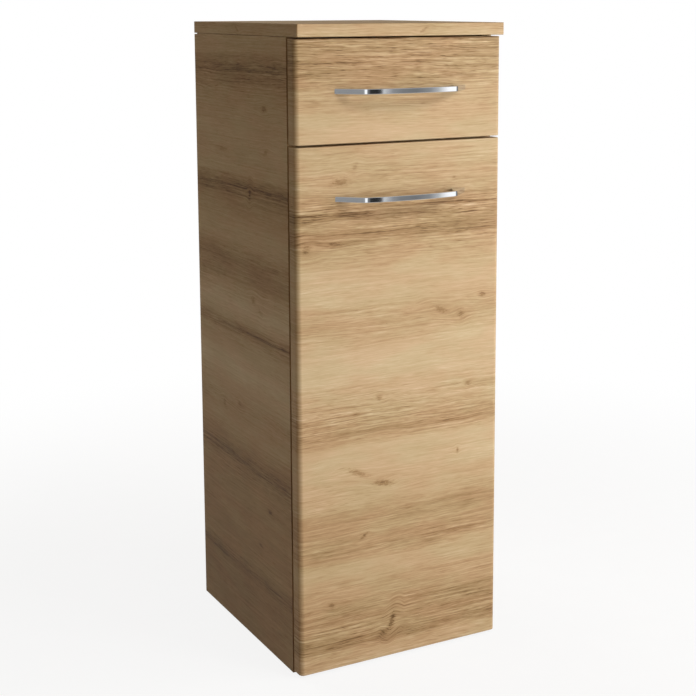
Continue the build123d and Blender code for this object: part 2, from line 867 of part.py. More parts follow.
def arm_profile():
    """Side outline of the arm: a straight tail that is bent forward to the pin."""
    tail = y_side_front + arm_length
    low = -inner_half + arm_lift
    high = low + arm_rise
    eye = Pos(*arm_pin) * Circle(link_eye_radius)
    front = y_side_front + arm_front_setback
    throat = block_face(high - arm_throat, high, front, front + arm_throat_length)
    nose = make_hull(eye.edges() + throat.edges())
    return nose + block_face(low, high, front, tail)


def block_face(x0, x1, y0, y1):
    return Pos((x0 + x1) / 2, (y0 + y1) / 2) * Rectangle(x1 - x0, y1 - y0)


def hinge_arm(z):
    """A folded channel, open towards the side panel, that carries the link on a pin."""
    solid = extrude(Pos(0, 0, z - arm_half_width) * arm_profile(), 2 * arm_half_width)
    inner = arm_half_width - arm_sheet
    low = -inner_half + arm_lift
    high = low + arm_rise
    hollow = block(low - cut_past, high - arm_sheet, y_side_front + arm_hollow_setback,
                   y_side_front + arm_length + cut_past, z - inner, z + inner)
    solid = solid - hollow
    solid = solid - upright(arm_pin, z, 2 * arm_half_width, hinge_pin_radius + bore_clearance / 2)
    for y in adjuster_rows:
        start = (high + cut_past, y, z)
        solid = solid - rod(start, (-1, 0, 0), arm_sheet + 2 * cut_past,
                            adjuster_radius + bore_clearance / 2)
    return solid


def adjusting_screws():
    """Screws through each arm into the raised rib of its plate."""
    screws = []
    high = -inner_half + arm_lift + arm_rise
    for z in hinge_heights.values():
        for y in adjuster_rows:
            shank = rod((high, y, z), (-1, 0, 0), high + inner_half - plate_thickness, adjuster_radius)
            head = rod((high, y, z), (1, 0, 0), adjuster_head_height, adjuster_head_radius)
            top = (high + adjuster_head_height, y, z)
            screws.append(join([shank, head]) - cross_recess(top, (-1, 0, 0)))
    return group(screws)


def hinge_plate(z):
    """A mounting plate with two wings for its screws."""
    face = -inner_half
    y_row = y_side_front + plate_row_inset
    base = block(face, face + plate_thickness, y_side_front + plate_start, y_side_front + arm_length,
                 z - plate_half_width, z + plate_half_width)
    wings = block(face, face + plate_thickness, y_row - plate_wing_half_width, y_row + plate_wing_half_width,
                  z - plate_wing_half_length, z + plate_wing_half_length)
    base = fillet(base.edges().filter_by(Axis.X), plate_corner_radius)
    wings = fillet(wings.edges().filter_by(Axis.X), plate_wing_radius)
    plate = base + wings
    for side in (-1, 1):
        start = (face - cut_past, y_row, z + side * plate_screw_half_spacing)
        plate = plate - rod(start, (1, 0, 0), plate_thickness + 2 * cut_past,
                            plate_screw_radius + bore_clearance / 2)
    return plate


def plate_screws():
    screws = []
    for z in hinge_heights.values():
        for side in (-1, 1):
            start = (-inner_half + plate_thickness, y_side_front + plate_row_inset,
                     z + side * plate_screw_half_spacing)
            screws.append(pan_screw(start, (-1, 0, 0), plate_screw_length + plate_thickness,
                                    plate_screw_radius))
    return group(screws)


def door_panel():
    panel = front_panel(front_floor_gap, door_top, door_handle_z)
    for z in hinge_heights.values():
        x, y = cup_centre
        panel = panel - rod((x, y, z), (0, -1, 0), cup_depth, cup_radius)
        for side in (-1, 1):
            start = (cup_screw_x, y, z + side * cup_screw_half_spacing)
            panel = panel - rod(start, (0, -1, 0), cup_screw_length, cup_screw_radius + bore_clearance / 2)
    return panel


def bumpers(places):
    """Soft pads that stand off the back of a front."""
    height = front_gap - bumper_gap
    pads = []
    for x, z in places:
        pad = rod((x, y_front_back, z), (0, 1, 0), height, bumper_radius)
        pads.append(fillet(pad.edges().group_by(Axis.Y)[-1], bumper_rounding))
    return group(pads)


def build_all():
    nodes = {}
    nodes["side_left"] = side_panel("left")
    nodes["side_right"] = side_panel("right")
    nodes["top_panel"] = top_panel()
    nodes["bottom_panel"] = level_panel("bottom", bottom_height)
    nodes["divider_panel"] = level_panel("divider", divider_bottom)
    nodes["back_panel"] = back_panel()
    nodes["shelf"] = shelf()
    nodes["shelf_pins"] = shelf_pins()
    nodes["cam_bolts"] = group([cam_bolt(frame) for frame in all_frames()])
    nodes["cam_locks"] = group([cam_lock(frame) for frame in all_frames()])
    nodes["carcass_dowels"] = carcass_dowels()

    nodes["drawer_front"] = drawer_front()
    nodes["drawer_box_front"] = drawer_box_front()
    nodes["drawer_back"] = drawer_cross_board(box_rear - box_board, box_rear)
    nodes["drawer_side_left"] = drawer_side(-1)
    nodes["drawer_side_right"] = drawer_side(1)
    nodes["drawer_bottom"] = drawer_bottom()
    nodes["drawer_dowels"] = group([box_dowel(start, inward) for start, inward in box_dowel_places()])
    nodes["drawer_front_screws"] = drawer_front_screws()
    nodes["drawer_handle"] = bow_handle(drawer_handle_z)
    nodes["drawer_handle_screws"] = handle_screws(drawer_handle_z, y_front_back + box_board)
    drawer_middle = (drawer_front_bottom + drawer_front_top) / 2
    nodes["drawer_bumpers"] = bumpers([(-side_middle, drawer_middle), (side_middle, drawer_middle)])

    outer_cage, inner_cage = ball_cages()
    runner = {
        "runner_cabinet": runner_cabinet(),
        "runner_middle": runner_middle(),
        "runner_drawer": runner_drawer(),
        "outer_ball_cage": outer_cage,
        "inner_ball_cage": inner_cage,
        "outer_balls": balls(outer_ball_u, outer_ball_w),
        "inner_balls": balls(inner_ball_u, inner_ball_w),
    }
    for name, member in runner.items():
        nodes[name + "_left"] = member
        nodes[name + "_right"] = mirrored(member)
    cabinet_screws = [cabinet_screw(y) for y in runner_screw_rows]
    box_screws = [box_screw(y) for y in box_screw_rows]
    nodes["runner_cabinet_screws"] = group(cabinet_screws + [mirrored(screw) for screw in cabinet_screws])
    nodes["runner_drawer_screws"] = group(box_screws + [mirrored(screw) for screw in box_screws])

    nodes["door_panel"] = door_panel()
    nodes["door_handle"] = bow_handle(door_handle_z)
    nodes["door_handle_screws"] = handle_screws(door_handle_z, y_front_back)
    door_pads = [(side_middle, front_floor_gap + bumper_inset), (side_middle, door_top - bumper_inset)]
    nodes["door_bumpers"] = bumpers(door_pads)
    pin_fits = {"upper": hinge_pin_fit, "lower": open_pin_fit}
    for name, z in hinge_heights.items():
        nodes["hinge_cup_" + name] = hinge_cup(z)
        nodes["hinge_link_" + name] = hinge_link(z, pin_fits[name])
        nodes["hinge_arm_" + name] = hinge_arm(z)
        nodes["hinge_plate_" + name] = hinge_plate(z)
    heights = hinge_heights.values()
    nodes["hinge_cup_pins"] = group([upright(cup_pin, z, cup_pin_half_length(), hinge_pin_radius)
                                     for z in heights])
    nodes["hinge_arm_pins"] = group([upright(arm_pin, z, link_half_width + arm_pin_overhang,
                                             hinge_pin_radius) for z in heights])
    nodes["hinge_cup_screws"] = cup_screws()
    nodes["hinge_plate_screws"] = plate_screws()
    nodes["hinge_adjusting_screws"] = adjusting_screws()
    return nodes


os.makedirs("parts", exist_ok=True)
for node_name, node in build_all().items():
    export_step(node, "parts/" + node_name + ".step")
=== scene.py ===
import json
import math

import bmesh
import bpy
from mathutils import Matrix, Vector


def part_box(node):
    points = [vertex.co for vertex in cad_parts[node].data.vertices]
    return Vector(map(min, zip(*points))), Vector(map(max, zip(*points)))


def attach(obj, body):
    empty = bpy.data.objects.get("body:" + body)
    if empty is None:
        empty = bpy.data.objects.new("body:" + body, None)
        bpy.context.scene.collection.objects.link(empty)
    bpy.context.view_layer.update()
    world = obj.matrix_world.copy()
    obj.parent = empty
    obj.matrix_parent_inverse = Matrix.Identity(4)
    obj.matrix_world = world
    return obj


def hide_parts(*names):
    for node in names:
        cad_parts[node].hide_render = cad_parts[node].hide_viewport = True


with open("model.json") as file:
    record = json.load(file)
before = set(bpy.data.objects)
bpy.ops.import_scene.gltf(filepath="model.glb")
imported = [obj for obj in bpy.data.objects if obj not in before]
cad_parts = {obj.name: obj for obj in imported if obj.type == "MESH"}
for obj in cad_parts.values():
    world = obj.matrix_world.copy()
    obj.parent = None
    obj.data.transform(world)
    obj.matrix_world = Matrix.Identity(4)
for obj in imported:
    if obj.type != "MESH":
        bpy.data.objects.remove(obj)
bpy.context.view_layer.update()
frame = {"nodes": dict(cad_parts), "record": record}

MM = 0.001


# Shader sums

class Reading:
    """A shader socket that Python sums work on. Each sum adds its Math node."""

    def __init__(self, nodes, socket):
        self.nodes = nodes
        self.socket = socket

    def math(self, operation, *others):
        return self.nodes.node("ShaderNodeMath", {"operation": operation}, (self, *others))

    def __add__(self, other):
        return self.math("ADD", other)

    def __mul__(self, other):
        return self.math("MULTIPLY", other)

    def __sub__(self, other):
        return self.math("SUBTRACT", other)

    def __truediv__(self, other):
        return self.math("DIVIDE", other)

    def __rsub__(self, other):
        return self.nodes.node("ShaderNodeMath", {"operation": "SUBTRACT"}, (other, self))

    def __abs__(self):
        return self.math("ABSOLUTE")

    __radd__ = __add__
    __rmul__ = __mul__


class Nodes:
    """Adds nodes to one tree."""

    def __init__(self, tree):
        self.tree = tree
        tree.nodes.clear()

    def node(self, kind, settings=None, inputs=(), output=0):
        """Adds a node: its type, its settings, and the values or links of its sockets."""
        made = self.tree.nodes.new(kind)
        for name, value in (settings or {}).items():
            if name == "stops":
                set_stops(made.color_ramp, value)
            else:
                setattr(made, name, value)
        pairs = inputs.items() if isinstance(inputs, dict) else enumerate(inputs)
        for key, value in pairs:
            if isinstance(value, Reading):
                self.tree.links.new(value.socket, made.inputs[key])
            else:
                made.inputs[key].default_value = value
        return Reading(self, made.outputs[output]) if made.outputs else None

    def parts(self, vector):
        split = self.node("ShaderNodeSeparateXYZ", None, (vector,))
        return [Reading(self, socket) for socket in split.socket.node.outputs]

    def step(self, value, low, high):
        """0 below low, 1 above high, smooth between."""
        sockets = {"Value": value, "From Min": low, "From Max": high}
        return self.node("ShaderNodeMapRange", {"interpolation_type": "SMOOTHSTEP"}, sockets)

    def ramp(self, value, stops):
        return self.node("ShaderNodeValToRGB", {"stops": stops}, (value,))

    def mix(self, share, first, second, blend="MIX"):
        kind = {"data_type": "RGBA", "blend_type": blend}
        return self.node("ShaderNodeMix", kind, {0: share, 6: first, 7: second}, 2)


class Finish(Nodes):
    """The node material of one kind of surface."""

    def __init__(self, name):
        self.material = bpy.data.materials.new(name)
        self.material.use_nodes = True
        super().__init__(self.material.node_tree)

    def place(self):
        """Where the point is on the object, in millimetres."""
        here = self.node("ShaderNodeTexCoord", None, (), "Object")
        return [part * (1 / MM) for part in self.parts(here)]

    def facing(self):
        """How much the surface faces along X, Y and Z, from the object's own normal."""
        return self.parts(self.node("ShaderNodeTexCoord", None, (), "Normal"))

    def point(self, x, y, z=0.0):
        return self.node("ShaderNodeCombineXYZ", None, (x, y, z))

    def noise(self, x, y, z, detail=2.0, rough=0.5):
        sockets = {"Vector": self.point(x, y, z), "Scale": 1.0, "Detail": detail, "Roughness": rough}
        return self.node("ShaderNodeTexNoise", None, sockets)

    def surface(self, colour, roughness, height, depth, **constants):
        """Ends the material in one shader. Sockets that stay the same all over are given by name."""
        sockets = {"Base Color": colour, "Roughness": roughness}
        sockets.update({name.replace("_", " "): value for name, value in constants.items()})
        sockets["Normal"] = self.node("ShaderNodeBump", None, {"Height": height, "Distance": depth})
        shader = self.node("ShaderNodeBsdfPrincipled", None, sockets)
        self.node("ShaderNodeOutputMaterial", None, (shader,))
        return self.material


def set_stops(ramp, stops):
    """Sets a ramp's stops, each a place and either a grey or a colour."""
    stops = [(place, (tone,) * 3 if isinstance(tone, float) else tone) for place, tone in stops]
    while len(ramp.elements) < len(stops):
        ramp.elements.new(1.0)
    for element, (place, tone) in zip(ramp.elements, stops):
        element.position = place
    for element, (place, tone) in zip(ramp.elements, stops):
        element.color = (*tone, 1.0)


# Oak decor

OAK_TONES = [
    (0.0, (0.13, 0.067, 0.028)),
    (0.24, (0.322, 0.205, 0.101)),
    (0.46, (0.442, 0.301, 0.165)),
    (0.58, (0.506, 0.363, 0.211)),
    (0.77, (0.592, 0.454, 0.286)),
    (1.0, (0.715, 0.588, 0.420)),
]
KHAKI = (0.985, 1.0, 0.955, 1.0)
ROSY = (1.0, 0.945, 0.91, 1.0)
# A ramp holds 0 to 1, so a zone's light, from -0.2 to 1.25, is packed into it and spread again.
LIGHT_OFFSET = 0.2
LIGHT_RANGE = 1.45
LIGHT_GAIN = 1.25
TONE_RANGE = 1.8
TONE_START = 0.222
OAK_RELIEF = 0.12 * MM


def mark(finish, grain, centre, reach, tilt):
    """A soft oval spot on the decor: 1 in its middle, 0 at its reach."""
    sockets = {"Vector": grain, "Location": (*centre, 0.0), "Rotation": (0.0, 0.0, math.radians(tilt)),
               "Scale": (*reach, 1.0)}
    local = finish.node("ShaderNodeMapping", {"vector_type": "TEXTURE"}, sockets)
    return finish.node("ShaderNodeTexGradient", {"gradient_type": "SPHERICAL"}, (local,), 1)


def oak(name, axes, height, grain_and_shade_bands, seams, knots, seed, painted_joint_shade=0.0):
    """Oak decor, in millimetres along and across the grain.

    The bands are the zones by height: how light, and how streaky; on the front and the left side their light
    also holds painted shade. seams are the dark lines and knots the branch marks. The last argument paints
    shade: it darkens a board's broken edges, so the joints and gaps between boards read as shaded lines.
    """
    finish = Finish(name)
    along, across = axes(finish)
    here = finish.point(along, across)

    # The grain waves a little, and bends round the branch marks.
    level = across + (finish.noise(along / 240, across / 60, seed) - 0.5) * 9
    level = level + (finish.noise(along / 60, across / 16, seed + 3.3) - 0.5) * 3.6
    for centre, reach, tilt, dark in knots:
        bend = mark(finish, here, centre, (reach[0] * 3.4, reach[1] * 3.6), tilt)
        level = level - (across - centre[1]) * bend * 0.55
    grain = finish.point(along, level)

    # Zones; on the front and the left side they also hold painted shade.
    lights = [(place / height, (light + LIGHT_OFFSET) / LIGHT_RANGE) for place, light, streaky in grain_and_shade_bands]
    tone = finish.ramp(level / height, lights) * (LIGHT_GAIN * LIGHT_RANGE) - LIGHT_GAIN * LIGHT_OFFSET
    busy = finish.ramp(level / height, [(place / height, streaky) for place, light, streaky in grain_and_shade_bands])
    drift = finish.noise(along / 130, across / 24, seed + 5, 2)
    busy = busy * (0.35 + drift * 1.3)

    # Streaks of three lengths, and a broad cloudiness.
    lines = finish.noise(along / 340, level / 3.4, seed + 11, 2, 0.55) - 0.5
    streaks = finish.noise(along / 56, level / 2.2, seed + 17, 2, 0.6) - 0.5
    fine = finish.noise(along / 19, level / 1.15, seed + 23, 2, 0.6) - 0.5
    cloud = finish.noise(along / 75, across / 24, seed + 29, 3) - 0.5
    tone = tone + (lines * 1.7 + streaks * 1.8 + fine * 1.4) * busy + cloud * 0.5 + fine * 0.2

    # Seams, broken up by the streaks, and ragged branch marks.
    broken = 0.55 + streaks * 2.4
    for centre, reach, tilt, dark in seams:
        tone = tone - mark(finish, grain, centre, reach, tilt) * broken * dark
    ragged = finish.noise(along / 5, across / 2.0, seed + 31, 3, 0.65) - 0.5
    for centre, reach, tilt, dark in knots:
        spot = mark(finish, here, centre, (reach[0] * 1.7, reach[1] * 1.7), tilt)
        tone = tone - finish.step(spot, 0.0, 0.9) * dark * 0.5
        tone = tone - finish.step(spot + ragged * 2.0, 0.45, 0.85) * dark * 0.8

    # Short dark dashes and light flecks.
    dashes = finish.step(finish.noise(along / 19, level / 1.2, seed + 41, 1), 0.60, 0.72)
    flecks = finish.step(finish.noise(along / 22, level / 1.3, seed + 47, 1), 0.62, 0.74)
    tone = tone - dashes * busy * 0.42 + flecks * busy * 0.36

    # Painted shade: every broken edge of the board is darkened, so the joints and gaps between boards read as
    # shaded lines.
    if painted_joint_shade:
        nx, ny, nz = [abs(part) for part in finish.facing()]
        widest = nx.math("MAXIMUM", ny).math("MAXIMUM", nz)
        tone = tone - finish.step(1 - widest, 0.12, 0.24) * painted_joint_shade

    hue = finish.step(finish.noise(along / 90, across / 30, seed + 53, 2), 0.36, 0.64)
    tint = finish.mix(hue, KHAKI, ROSY)
    colour = finish.ramp(tone / TONE_RANGE + TONE_START, OAK_TONES)
    colour = finish.mix(1.0, colour, tint, "MULTIPLY")
    roughness = 0.5 + fine * 0.2 + dashes * 0.12
    relief = streaks * 0.6 + fine * 0.8 - dashes * 0.6
    return finish.surface(colour, roughness, relief, OAK_RELIEF, Specular_IOR_Level=0.36)


# Where the fronts face, and how high the cabinet is, in millimetres.
FRONT_FACE = -148.45
CABINET_HEIGHT = 846


def front_axes(finish):
    """The decor of a front wraps round its upright edges."""
    x, y, z = finish.place()
    return x + x.math("SIGN") * (y - FRONT_FACE), z


def face_axes(flat, ends, sides):
    """Grain directions by the way a face looks: along X (flat), along Y (ends) or up and down (sides)."""
    def axes(finish):
        spots = dict(zip("xyz", finish.place()))
        nx, ny, nz = [abs(part) for part in finish.facing()]
        looks_y = (ny - nx).math("GREATER_THAN", 0.0)
        looks_z = nz.math("GREATER_THAN", 0.6)
        result = []
        for i in range(2):
            names = [spots[face[i]] for face in (flat, ends, sides)]
            level = names[0] + (names[1] - names[0]) * looks_y
            result.append(level + (names[2] - level) * looks_z)
        return result[0], result[1] + looks_y * ends[2] + looks_z * sides[2] + flat[2]
    return axes


# Zones: height, light, streakiness. Seams and knots: place, half size, tilt in degrees, darkness.
# These grain zones also hold painted light and shade, as their light was set row by row to the lit front; the
# darker zone at 758 mm paints the drawer handle's shadow.
FRONT_GRAIN_AND_SHADE_BANDS = [
    (0, 0.6, 0.6), (22, 0.56, 0.6), (32, 0.16, 1.0), (46, 0.34, 0.9), (76, 0.28, 0.75), (100, 0.48, 0.5),
    (140, 0.62, 0.3), (152, 0.5, 0.55), (162, 0.34, 0.7), (188, 0.42, 0.5), (206, 0.36, 0.5), (230, 0.6, 0.45),
    (262, 0.72, 0.35), (300, 0.73, 0.22), (308, 0.52, 0.6), (321, 0.36, 0.8), (334, 0.5, 0.9), (354, 0.6, 0.85),
    (395, 0.79, 0.25), (432, 0.76, 0.3), (466, 0.47, 0.6), (498, 0.72, 0.4),
    (530, 0.7, 0.3), (568, 0.38, 0.7), (582, 0.2, 1.0), (594, 0.36, 0.9), (606, 0.2, 1.2),
    (638, 0.53, 0.6), (686, 0.59, 0.45), (706, 0.72, 0.25), (758, 0.5, 0.6), (792, 0.3, 1.1),
]

FRONT_SEAMS = [
    ((-20, 604), (260, 2.2), 0, 0.4), ((-60, 581), (200, 3.5), 0, 0.45), ((110, 580), (120, 4), 1, 0.35),
    ((-40, 590), (120, 1.6), 0, 0.3), ((-80, 598), (90, 1.5), 0, 0.25),
    ((0, 788), (200, 3), 0, 0.4), ((-100, 784), (70, 4), 0, 0.35), ((60, 803), (150, 1.8), 0, 0.2),
    ((-60, 812), (160, 1.8), 0, 0.3), ((-90, 795), (110, 1.8), 0, 0.25), ((60, 815), (150, 1.6), 0, 0.25),
    ((0, 463), (110, 1.5), -1, 0.32), ((-100, 483), (45, 4), 0, 0.25), ((-60, 436), (160, 1.5), 0, 0.2),
    ((-75, 357), (90, 1.2), 0, 0.4), ((-80, 352), (85, 1.1), 0, 0.35), ((35, 341), (90, 1.2), 1, 0.3),
    ((-30, 321), (160, 3), 1, 0.3), ((110, 327), (80, 3), -2, 0.35), ((-120, 305), (40, 1.5), 0, 0.3),
    ((-71, 163), (13, 1.5), 0, 0.75), ((-115, 167), (40, 3), 0, 0.3), ((20, 159), (60, 1.5), 2, 0.35),
    ((60, 208), (50, 3), 2, 0.3), ((-95, 176), (50, 4), 0, 0.25), ((90, 160), (70, 4), 0, 0.2),
    ((-80, 34), (110, 3), 0, 0.4), ((70, 36), (120, 3), 3, 0.45), ((-60, 60), (80, 1.2), 1, 0.2),
    ((-60, 66), (80, 1.2), 1, 0.2), ((110, 78), (60, 1.4), -2, 0.25), ((-18, 386), (22, 1), -2, 0.3),
]

FRONT_KNOTS = [
    ((-87, 649), (15, 6), 0, 0.4), ((-67, 668), (4, 6), -30, 0.25), ((79, 646), (3, 2), 0, 0.35),
    ((-137, 567), (8, 7), 30, 0.4), ((-95, 570), (14, 4), 0, 0.25), ((60, 471), (13, 4.5), -25, 0.45),
    ((91, 462), (6, 6), 40, 0.4), ((125, 485), (6, 4), 0, 0.6), ((102, 365), (8, 3), 10, 0.45),
    ((-33, 363), (5, 3), -20, 0.45), ((-64, 266), (20, 4.5), -22, 0.5), ((-27, 247), (18, 4.6), -10, 0.7),
    ((87, 274), (2, 4), 0, 0.6), ((-56, 179), (7, 2.5), 35, 0.6), ((-105, 93), (4, 6), 60, 0.35),
    ((-14, 54), (4.5, 12), -16, 0.65), ((-24, 40), (12, 5), 20, 0.35), ((30, 838), (7, 3), 30, 0.4),
]

# These grain zones also hold painted shade, as their light was set row by row to the lit side: the lower quarter
# is darker partly by its grain and partly by painted shade.
SIDE_GRAIN_AND_SHADE_BANDS = [
    (0, 0.28, 0.3), (40, 0.16, 0.3), (80, 0.1, 0.35), (90, -0.05, 0.6), (108, 0.26, 0.35), (130, 0.2, 0.3),
    (160, 0.26, 0.3), (210, 0.3, 0.35), (234, 0.2, 0.6), (245, -0.05, 0.7), (258, 0.2, 0.5), (290, 0.62, 0.3),
    (322, 0.5, 0.5), (350, 0.8, 0.4), (374, 0.95, 0.25), (404, 0.72, 0.35), (420, 0.54, 0.5), (431, 0.1, 0.9),
    (442, 0.72, 0.5), (456, 0.96, 0.35), (488, 0.72, 0.6), (500, 0.34, 0.5), (530, 0.3, 0.7), (552, 0.72, 0.4),
    (576, 0.7, 0.3), (610, 0.36, 0.5), (628, 0.02, 1.0), (646, 0.72, 0.4), (700, 0.74, 0.35),
    (752, 0.56, 0.5), (786, 0.08, 1.0), (812, 0.6, 0.4),
]

SIDE_SEAMS = [
    ((-20, 784), (140, 2.5), 0, 0.45), ((20, 769), (150, 2.5), 0, 0.35), ((110, 626), (80, 4), -1, 0.4),
    ((-40, 628), (110, 2), 0, 0.35), ((0, 430), (120, 4), 1, 0.4), ((140, 427), (60, 1.5), -2, 0.3),
    ((30, 244), (90, 3), 2, 0.4), ((-90, 243), (60, 3), -1, 0.3), ((110, 87), (80, 2.5), 0, 0.35),
    ((-60, 92), (80, 2.5), 1, 0.3), ((20, 497), (140, 3), 0, 0.2), ((-50, 536), (50, 1.5), 0, 0.3),
]

SIDE_KNOTS = [
    ((-56, 737), (9, 5), 0, 0.45), ((84, 675), (20, 5), 0, 0.3), ((-59, 681), (8, 4), -20, 0.35),
    ((-6, 621), (4, 9), 10, 0.4), ((-13, 479), (8, 6), 0, 0.45), ((-36, 466), (10, 4), 25, 0.3),
    ((94, 314), (5, 6), 0, 0.35), ((40, 324), (8, 4), 0, 0.3), ((-58, 199), (9, 4), 0, 0.45),
    ((-26, 142), (8, 3), 10, 0.3), ((-90, 793), (7, 4), 0, 0.3),
]

BOARD_BANDS = [
    (0, 0.56, 0.5), (60, 0.64, 0.4), (110, 0.4, 0.8), (150, 0.6, 0.5), (210, 0.72, 0.3), (260, 0.44, 0.8),
    (300, 0.56, 0.6), (350, 0.74, 0.3), (420, 0.48, 0.7), (470, 0.64, 0.4), (520, 0.4, 0.9), (560, 0.68, 0.5),
    (640, 0.56, 0.5), (700, 0.72, 0.3), (760, 0.48, 0.8), (830, 0.64, 0.5),
]

SIDE_FACES = (("y", "z", 0), ("z", "x", 380), ("y", "x", 380))
front_oak = oak("front_oak", front_axes, CABINET_HEIGHT, FRONT_GRAIN_AND_SHADE_BANDS, FRONT_SEAMS, FRONT_KNOTS, 2.0)
left_side_oak = oak("left_side_oak", face_axes(*SIDE_FACES), CABINET_HEIGHT,
                    SIDE_GRAIN_AND_SHADE_BANDS, SIDE_SEAMS, SIDE_KNOTS, 71.0, 0.5)
right_side_oak = oak("right_side_oak", face_axes(*SIDE_FACES), CABINET_HEIGHT, BOARD_BANDS,
                     [((40, 520), (140, 5), 1, 0.5), ((-60, 262), (120, 5), -1, 0.5)],
                     [((-40, 640), (10, 5), 10, 0.5), ((60, 330), (9, 5), 0, 0.5)], 133.0, 0.5)
top_oak = oak("top_oak", face_axes(("y", "z", 0), ("x", "z", 0), ("x", "y", 480)), 900,
              [(0, 0.56, 0.4), (330, 0.56, 0.5), (400, 0.48, 0.8), (450, 0.68, 0.4), (520, 0.44, 0.8),
               (600, 0.64, 0.4), (680, 0.48, 0.7), (800, 0.64, 0.5), (846, 0.58, 0.5)],
              [((30, 560), (120, 5), 1, 0.5)], [((29, 838), (8, 2.5), 35, 0.4)], 211.0, 0.4)
shelf_oak = oak("shelf_oak", face_axes(("y", "z", 0), ("x", "z", 0), ("x", "y", 300)), CABINET_HEIGHT,
                BOARD_BANDS, [((20, 330), (120, 5), 1, 0.4)], [((50, 230), (9, 4), 0, 0.4)], 307.0, 0.4)


# Other sheet and solid materials

def drawer_board_finish():
    """Pale foil of the drawer box, with a faint straight grain."""
    finish = Finish("drawer_board_foil")
    x, y, z = finish.place()
    nx = abs(finish.facing()[0])
    run = x + (y - x) * nx.math("GREATER_THAN", 0.5)
    grain = finish.noise(run / 60, z / 1.6, x / 40, 3, 0.6)
    fine = finish.noise(run / 12, z / 0.5, x / 9, 2)
    colour = finish.ramp(grain * 0.7 + fine * 0.3, [(0.3, (0.60, 0.55, 0.47)), (0.7, (0.74, 0.70, 0.62))])
    return finish.surface(colour, 0.5 + fine * 0.12, grain + fine, 0.08 * MM)


def back_board_finish():
    """Thin fibreboard: a pale foil on the seen side, brown fibres on the other."""
    finish = Finish("fibreboard")
    x, y, z = finish.place()
    nx, ny, nz = finish.facing()
    raw = (ny - nz).math("GREATER_THAN", 0.5)
    weave = (x * 3.1).math("SINE") * 0.5 + (z * 3.1).math("SINE") * 0.5
    foil = finish.noise(x / 30, z / 2, y / 30, 3)
    fibres = finish.noise(x / 1.4, z / 1.4, y / 1.4, 5, 0.7)
    patches = finish.noise(x / 25, z / 25, y / 25, 3)
    pale = finish.ramp(foil, [(0.3, (0.60, 0.56, 0.50)), (0.7, (0.69, 0.65, 0.59))])
    brown = finish.ramp(fibres * 0.75 + patches * 0.25, [(0.32, (0.13, 0.075, 0.04)), (0.68, (0.30, 0.19, 0.11))])
    colour = finish.mix(raw, pale, brown)
    height = weave * (1 - raw) * 0.2 + fibres * raw + foil * 0.2
    return finish.surface(colour, 0.52 + raw * 0.2 + fibres * 0.1, height, 0.12 * MM)


def metal_finish(name, dark, light, rough, wear, run="y", grain=0.4, depth=0.03):
    """A plated or cast metal: drawn lines along one direction, fine grit, dull patches and a few scratches.

    rough is how dull it is, wear how much that changes, grain the share of the drawn lines, and depth the
    relief in millimetres.
    """
    finish = Finish(name)
    spots = dict(zip("xyz", finish.place()))
    other = [spots[key] for key in "xyz" if key != run]
    lines = finish.noise(other[0] / 0.35, other[1] / 0.35, spots[run] / 18, 3, 0.6)
    grit = finish.noise(spots["x"] / 0.5, spots["y"] / 0.5, spots["z"] / 0.5, 3, 0.6)
    patches = finish.noise(spots["x"] / 14, spots["y"] / 14, spots["z"] / 14, 3)
    tone = lines * grain + grit * (0.5 - grain / 2) + patches * (0.5 - grain / 2)
    colour = finish.ramp(tone, [(0.34, dark), (0.66, light)])
    scratch = finish.step(finish.noise(other[0] / 0.5, other[1] / 6, spots[run] / 5, 1), 0.68, 0.74)
    roughness = rough + (patches - 0.5) * wear + (grit - 0.5) * wear * 0.5 + scratch * wear * 0.4
    return finish.surface(colour, roughness, lines * grain + grit * 0.3 - scratch * 0.3, depth * MM, Metallic=1.0)


def beech_finish():
    """Bare dowel wood with short dark rays."""
    finish = Finish("beech")
    x, y, z = finish.place()
    grain = finish.noise(x / 5, y / 0.8, z / 0.8, 3, 0.6)
    rays = finish.step(finish.noise(x / 1.5, y / 0.4, z / 0.4, 1), 0.62, 0.72)
    colour = finish.ramp(grain - rays * 0.15, [(0.3, (0.42, 0.27, 0.15)), (0.7, (0.66, 0.48, 0.31))])
    return finish.surface(colour, 0.62 + grain * 0.15, grain, 0.1 * MM)


def pad_finish():
    """Soft see-through plastic, a little cloudy."""
    finish = Finish("clear_pad")
    x, y, z = finish.place()
    cloud = finish.noise(x / 3, y / 3, z / 3, 3)
    colour = finish.ramp(cloud, [(0.3, (0.72, 0.74, 0.74)), (0.7, (0.86, 0.87, 0.86))])
    return finish.surface(colour, 0.22 + cloud * 0.15, cloud, 0.05 * MM, Transmission_Weight=0.45, IOR=1.45)


chrome = metal_finish("polished_chrome", (0.70, 0.72, 0.745), (0.78, 0.80, 0.82), 0.05, 0.04, "x", 0.2, 0.006)
zinc_screw = metal_finish("zinc_screw", (0.42, 0.42, 0.43), (0.66, 0.66, 0.67), 0.32, 0.2)
zinc_bolt = metal_finish("zinc_bolt", (0.40, 0.40, 0.41), (0.62, 0.62, 0.62), 0.36, 0.2, "x")
zinc_cam = metal_finish("cast_zinc", (0.30, 0.30, 0.31), (0.50, 0.50, 0.51), 0.48, 0.25, "z", 0.1, 0.1)
runner_steel = metal_finish("galvanised_steel", (0.46, 0.47, 0.48), (0.66, 0.67, 0.68), 0.3, 0.22, "y", 0.5)
ball_steel = metal_finish("ball_steel", (0.62, 0.62, 0.63), (0.75, 0.75, 0.76), 0.08, 0.06, "y", 0.1)
hinge_steel = metal_finish("nickel_plate", (0.52, 0.50, 0.47), (0.70, 0.68, 0.65), 0.2, 0.14, "y", 0.25)
drawer_foil = drawer_board_finish()
fibreboard = back_board_finish()
beech = beech_finish()
clear_pad = pad_finish()

